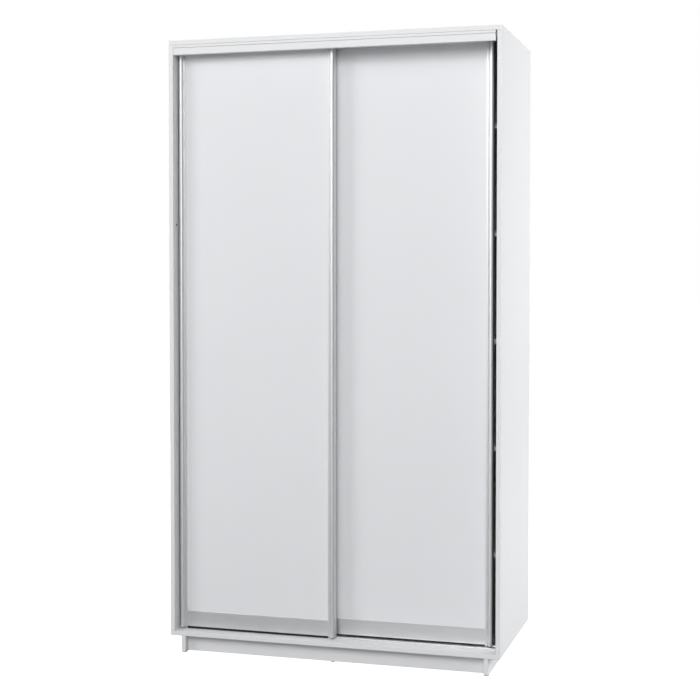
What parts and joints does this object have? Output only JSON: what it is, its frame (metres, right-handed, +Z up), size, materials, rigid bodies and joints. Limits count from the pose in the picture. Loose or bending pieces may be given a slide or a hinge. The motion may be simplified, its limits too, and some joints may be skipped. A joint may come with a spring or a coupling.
{
  "type": "sliding door wardrobe",
  "caption": "Tall wardrobe on a recessed plinth with aluminium-framed sliding doors on a floor track, a hanging bay and a shelved bay behind them.",
  "frame": {"origin": "centre of the footprint at floor level", "axes": "+Z up, +Y from the door side towards the back, +X to the right along the front as seen from the door side"},
  "size_m": [1.2016, 0.6, 2.1908],
  "materials": {
    "white_laminate": "white melamine-faced board, satin, fine pearl texture",
    "door_laminate": "white melamine-faced door panel, satin",
    "white_fibreboard": "thin hardboard, white-lacquered inside, bare brown behind",
    "satin_aluminium": "satin silver anodised extrusion",
    "zinc_steel": "zinc plated",
    "chromed_tube": "bright chrome plated",
    "white_plastic": "matte white moulded",
    "wheel_plastic": "dark grey nylon",
    "black_plastic": "black moulded",
    "black_rubber": "soft black",
    "grey_pile": "dense dark pile"
  },
  "bodies": {
    "carcass": {"bottom_board": "white_laminate", "top_board": "white_laminate", "left_side": "white_laminate", "right_side": "white_laminate", "centre_partition": "white_laminate", "left_back_sheet": "white_fibreboard", "right_back_sheet": "white_fibreboard", "back_nails": "zinc_steel", "plinth_left_end": "white_laminate", "plinth_right_end": "white_laminate", "plinth_front_board": "white_laminate", "plinth_back_board": "white_laminate", "floor_glides": "black_plastic", "left_hat_shelf": "white_laminate", "right_hat_shelf": "white_laminate", "fixed_lower_shelf": "white_laminate", "loose_shelf_1": "white_laminate", "loose_shelf_2": "white_laminate", "loose_shelf_3": "white_laminate", "shelf_pins": "zinc_steel", "hanging_rail": "chromed_tube", "rail_flanges": "chromed_tube", "rail_flange_screws": "zinc_steel", "top_fascia": "white_laminate", "top_track": "satin_aluminium", "floor_track": "satin_aluminium", "track_screws": "zinc_steel", "track_stops": "black_rubber", "carcass_screws": "zinc_steel", "screw_caps": "white_plastic", "side_plug": "black_plastic"},
    "left_door": {"left_door_panel": "door_laminate", "left_door_left_stile": "satin_aluminium", "left_door_right_stile": "satin_aluminium", "left_door_top_rail": "satin_aluminium", "left_door_bottom_rail": "satin_aluminium", "left_door_screws": "zinc_steel", "left_door_seals": "grey_pile", "left_door_roller_carriages": "zinc_steel", "left_door_guide_brackets": "zinc_steel", "left_door_axles": "zinc_steel"},
    "right_door": {"right_door_panel": "door_laminate", "right_door_left_stile": "satin_aluminium", "right_door_right_stile": "satin_aluminium", "right_door_top_rail": "satin_aluminium", "right_door_bottom_rail": "satin_aluminium", "right_door_screws": "zinc_steel", "right_door_seals": "grey_pile", "right_door_roller_carriages": "zinc_steel", "right_door_guide_brackets": "zinc_steel", "right_door_axles": "zinc_steel"},
    "left_door_left_roller": {"left_door_left_roller": "wheel_plastic"},
    "left_door_left_guide_wheel": {"left_door_left_guide_wheel": "wheel_plastic"},
    "left_door_right_roller": {"left_door_right_roller": "wheel_plastic"},
    "left_door_right_guide_wheel": {"left_door_right_guide_wheel": "wheel_plastic"},
    "right_door_left_roller": {"right_door_left_roller": "wheel_plastic"},
    "right_door_left_guide_wheel": {"right_door_left_guide_wheel": "wheel_plastic"},
    "right_door_right_roller": {"right_door_right_roller": "wheel_plastic"},
    "right_door_right_guide_wheel": {"right_door_right_guide_wheel": "wheel_plastic"}
  },
  "joints": [
    {"name": "left_door_slide", "type": "slide", "parent": "carcass", "child": "left_door", "axis": [1, 0, 0], "range_m": [0, 0.565]},
    {"name": "right_door_slide", "type": "slide", "parent": "carcass", "child": "right_door", "axis": [1, 0, 0], "range_m": [-0.55, 0.0235]},
    {"name": "left_door_left_roller_spin", "type": "hinge", "parent": "left_door", "child": "left_door_left_roller", "pos_m": [-0.5105, -0.2416, 0.0928], "axis": [0, 1, 0], "range_deg": [-5, 2869.8]},
    {"name": "left_door_left_guide_wheel_spin", "type": "hinge", "parent": "left_door", "child": "left_door_left_guide_wheel", "pos_m": [-0.4955, -0.245, 2.1663], "axis": [0, 0, 1], "range_deg": [-5, 3725.9]},
    {"name": "left_door_right_roller_spin", "type": "hinge", "parent": "left_door", "child": "left_door_right_roller", "pos_m": [-0.0665, -0.2416, 0.0928], "axis": [0, 1, 0], "range_deg": [-5, 2869.8]},
    {"name": "left_door_right_guide_wheel_spin", "type": "hinge", "parent": "left_door", "child": "left_door_right_guide_wheel", "pos_m": [-0.0815, -0.245, 2.1663], "axis": [0, 0, 1], "range_deg": [-5, 3725.9]},
    {"name": "right_door_left_roller_spin", "type": "hinge", "parent": "right_door", "child": "right_door_left_roller", "pos_m": [0.043, -0.2016, 0.0928], "axis": [0, 1, 0], "range_deg": [-2793.7, 124.2]},
    {"name": "right_door_left_guide_wheel_spin", "type": "hinge", "parent": "right_door", "child": "right_door_left_guide_wheel", "pos_m": [0.058, -0.205, 2.1663], "axis": [0, 0, 1], "range_deg": [-3627.1, 159.8]},
    {"name": "right_door_right_roller_spin", "type": "hinge", "parent": "right_door", "child": "right_door_right_roller", "pos_m": [0.487, -0.2016, 0.0928], "axis": [0, 1, 0], "range_deg": [-2793.7, 124.2]},
    {"name": "right_door_right_guide_wheel_spin", "type": "hinge", "parent": "right_door", "child": "right_door_right_guide_wheel", "pos_m": [0.472, -0.205, 2.1663], "axis": [0, 0, 1], "range_deg": [-3627.1, 159.8]}
  ],
  "couplings": [
    {"joint": "left_door_left_roller_spin", "follows": "left_door_slide", "rad_per_m": 88.496},
    {"joint": "left_door_left_guide_wheel_spin", "follows": "left_door_slide", "rad_per_m": 114.94},
    {"joint": "left_door_right_roller_spin", "follows": "left_door_slide", "rad_per_m": 88.496},
    {"joint": "left_door_right_guide_wheel_spin", "follows": "left_door_slide", "rad_per_m": 114.94},
    {"joint": "right_door_left_roller_spin", "follows": "right_door_slide", "rad_per_m": 88.496},
    {"joint": "right_door_left_guide_wheel_spin", "follows": "right_door_slide", "rad_per_m": 114.94},
    {"joint": "right_door_right_roller_spin", "follows": "right_door_slide", "rad_per_m": 88.496},
    {"joint": "right_door_right_guide_wheel_spin", "follows": "right_door_slide", "rad_per_m": 114.94}
  ]
}
